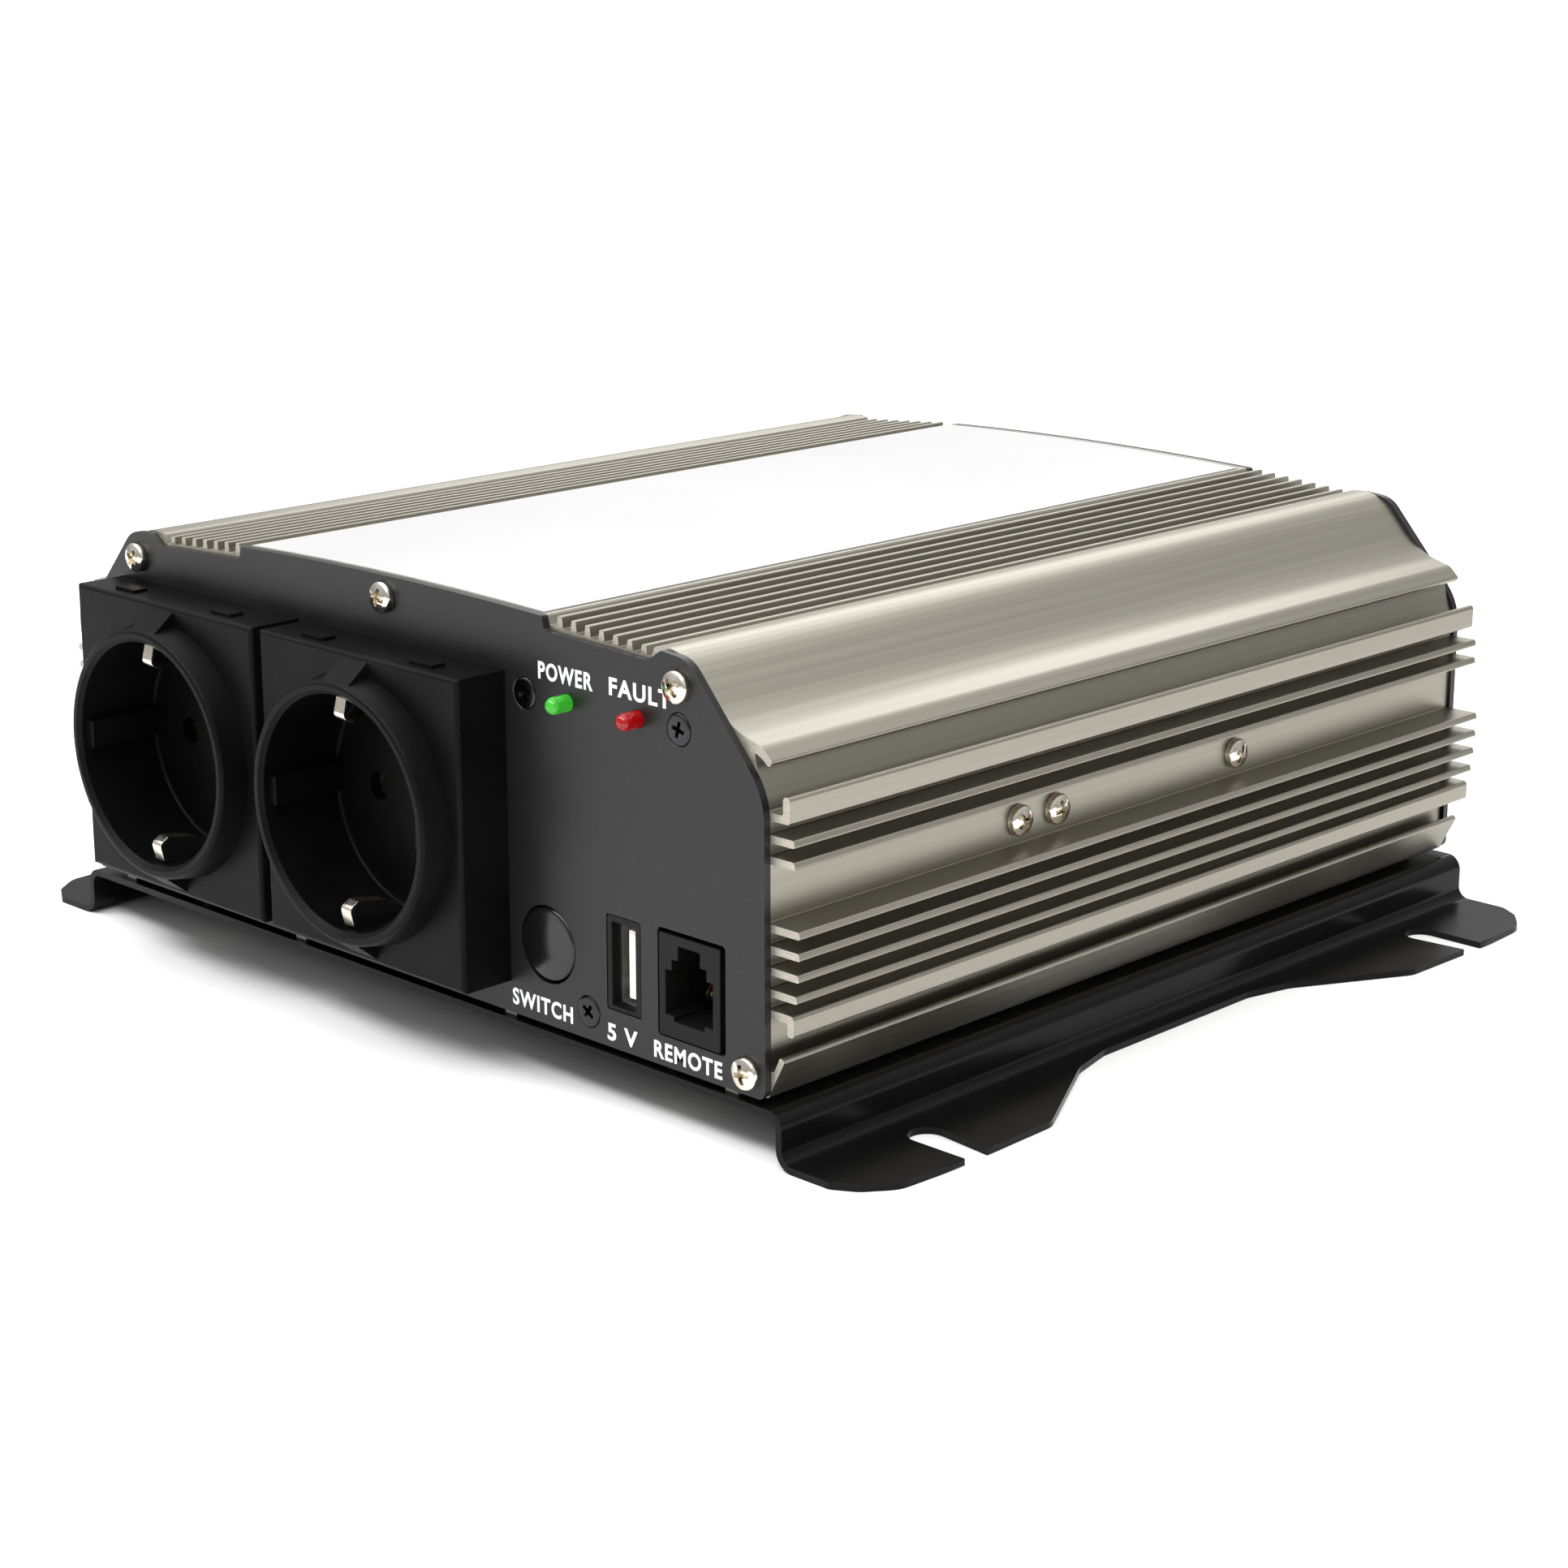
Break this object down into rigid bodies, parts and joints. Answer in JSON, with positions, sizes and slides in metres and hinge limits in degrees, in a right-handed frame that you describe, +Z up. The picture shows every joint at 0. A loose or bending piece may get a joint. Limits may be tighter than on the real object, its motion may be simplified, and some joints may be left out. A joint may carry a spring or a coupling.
{
  "type": "power inverter",
  "caption": "Flat ribbed aluminium power inverter with round mains sockets, push button, lamps, ports, rear fan and battery terminals, on a footed base plate.",
  "frame": {"origin": "middle of the whole object's box, on the surface that its feet stand on", "axes": "+Z up, the socket panel faces -Y, +X to the right seen from the sockets' side, case drawn out along Y"},
  "size_m": [0.2352, 0.238, 0.085],
  "materials": {
    "black_plastic": "moulded",
    "board_green": "solder mask",
    "button_plastic": "polished",
    "capacitor_sleeve": "shrink sleeve",
    "casing_aluminium": "satin anodised, drawn lengthwise",
    "contact_gold": "gold flash",
    "contact_metal": "nickel plated brass",
    "copper_wire": "enamelled copper",
    "ferrite": "sintered",
    "fuse_plastic": "clear tinted",
    "knob_black": "moulded, fluted",
    "knob_red": "moulded, fluted",
    "label_sheet": "satin printed film",
    "led_green": "clear epoxy",
    "led_red": "clear epoxy",
    "pad_rubber": "thermal pad",
    "panel_paint": "satin powder coat",
    "plate_paint": "gloss powder coat",
    "screw_black": "black oxide",
    "screw_nickel": "nickel plated",
    "socket_plastic": "fine moulded texture",
    "steel_plain": "plain zinc plated",
    "stud_brass": "plated, threaded",
    "white_plastic": "moulded",
    "winding_tape": "polyester tape"
  },
  "bodies": {
    "case": {"base_plate": "plate_paint", "base_plate_screws": "screw_nickel", "blade_fuses": "fuse_plastic", "bus_capacitors": "capacitor_sleeve", "button_spring": "steel_plain", "charge_port_collar": "black_plastic", "charge_port_contacts": "contact_gold", "charge_port_shell": "steel_plain", "charge_port_tongue": "white_plastic", "choke_core": "ferrite", "choke_turns": "copper_wire", "control_board": "board_green", "control_board_posts": "steel_plain", "control_board_screws": "screw_black", "extruded_casing": "casing_aluminium", "fan_frame": "black_plastic", "fan_guard": "screw_nickel", "fan_screws": "screw_nickel", "fault_led": "led_red", "front_panel": "panel_paint", "front_panel_screws": "screw_nickel", "ground_screw": "screw_nickel", "input_capacitors": "capacitor_sleeve", "insulating_pads": "pad_rubber", "led_leads": "steel_plain", "left_clamp_bars": "steel_plain", "left_contact_tubes": "contact_metal", "left_earth_clips": "contact_metal", "left_socket_housing": "socket_plastic", "left_transistors": "black_plastic", "main_board": "board_green", "negative_insulator": "knob_black", "negative_stud": "stud_brass", "positive_insulator": "knob_red", "positive_stud": "stud_brass", "power_led": "led_green", "rear_panel": "panel_paint", "rear_panel_screws": "screw_nickel", "remote_jack_body": "black_plastic", "remote_jack_contacts": "contact_gold", "right_clamp_bars": "steel_plain", "right_contact_tubes": "contact_metal", "right_earth_clips": "contact_metal", "right_socket_housing": "socket_plastic", "right_transistors": "black_plastic", "side_clamp_screws": "screw_nickel", "switch_body": "black_plastic", "top_label": "label_sheet", "transformer_cores": "ferrite", "transformer_feet": "black_plastic", "transformer_windings": "winding_tape"},
    "button": {"power_button": "button_plastic"},
    "fan_rotor": {"fan_rotor": "black_plastic"},
    "positive_washer": {"positive_washer": "steel_plain"},
    "positive_knob": {"positive_knob": "knob_red"},
    "negative_washer": {"negative_washer": "steel_plain"},
    "negative_knob": {"negative_knob": "knob_black"}
  },
  "joints": [
    {"name": "button_press", "type": "slide", "parent": "case", "child": "button", "axis": [0, 1, 0], "range_m": [0, 0.0025], "stiffness_N_per_m": 500, "springref_m": -0.002, "deforming": ["button_spring"]},
    {"name": "fan_spin", "type": "hinge", "parent": "case", "child": "fan_rotor", "pos_m": [-0.042, 0.08975, 0.0457], "axis": [0, 1, 0], "continuous": true},
    {"name": "positive_knob_lift", "type": "slide", "parent": "case", "child": "positive_washer", "axis": [0, 1, 0], "range_m": [0, 0.003]},
    {"name": "positive_knob_turn", "type": "hinge", "parent": "positive_washer", "child": "positive_knob", "pos_m": [0.062, 0.11075, 0.0452], "axis": [0, 1, 0], "range_deg": [0, 1080]},
    {"name": "negative_knob_lift", "type": "slide", "parent": "case", "child": "negative_washer", "axis": [0, 1, 0], "range_m": [0, 0.003]},
    {"name": "negative_knob_turn", "type": "hinge", "parent": "negative_washer", "child": "negative_knob", "pos_m": [0.022, 0.11075, 0.0452], "axis": [0, 1, 0], "range_deg": [0, 1080]}
  ],
  "couplings": [
    {"joint": "positive_knob_turn", "follows": "positive_knob_lift", "rad_per_m": 6283.2},
    {"joint": "negative_knob_turn", "follows": "negative_knob_lift", "rad_per_m": 6283.2}
  ]
}
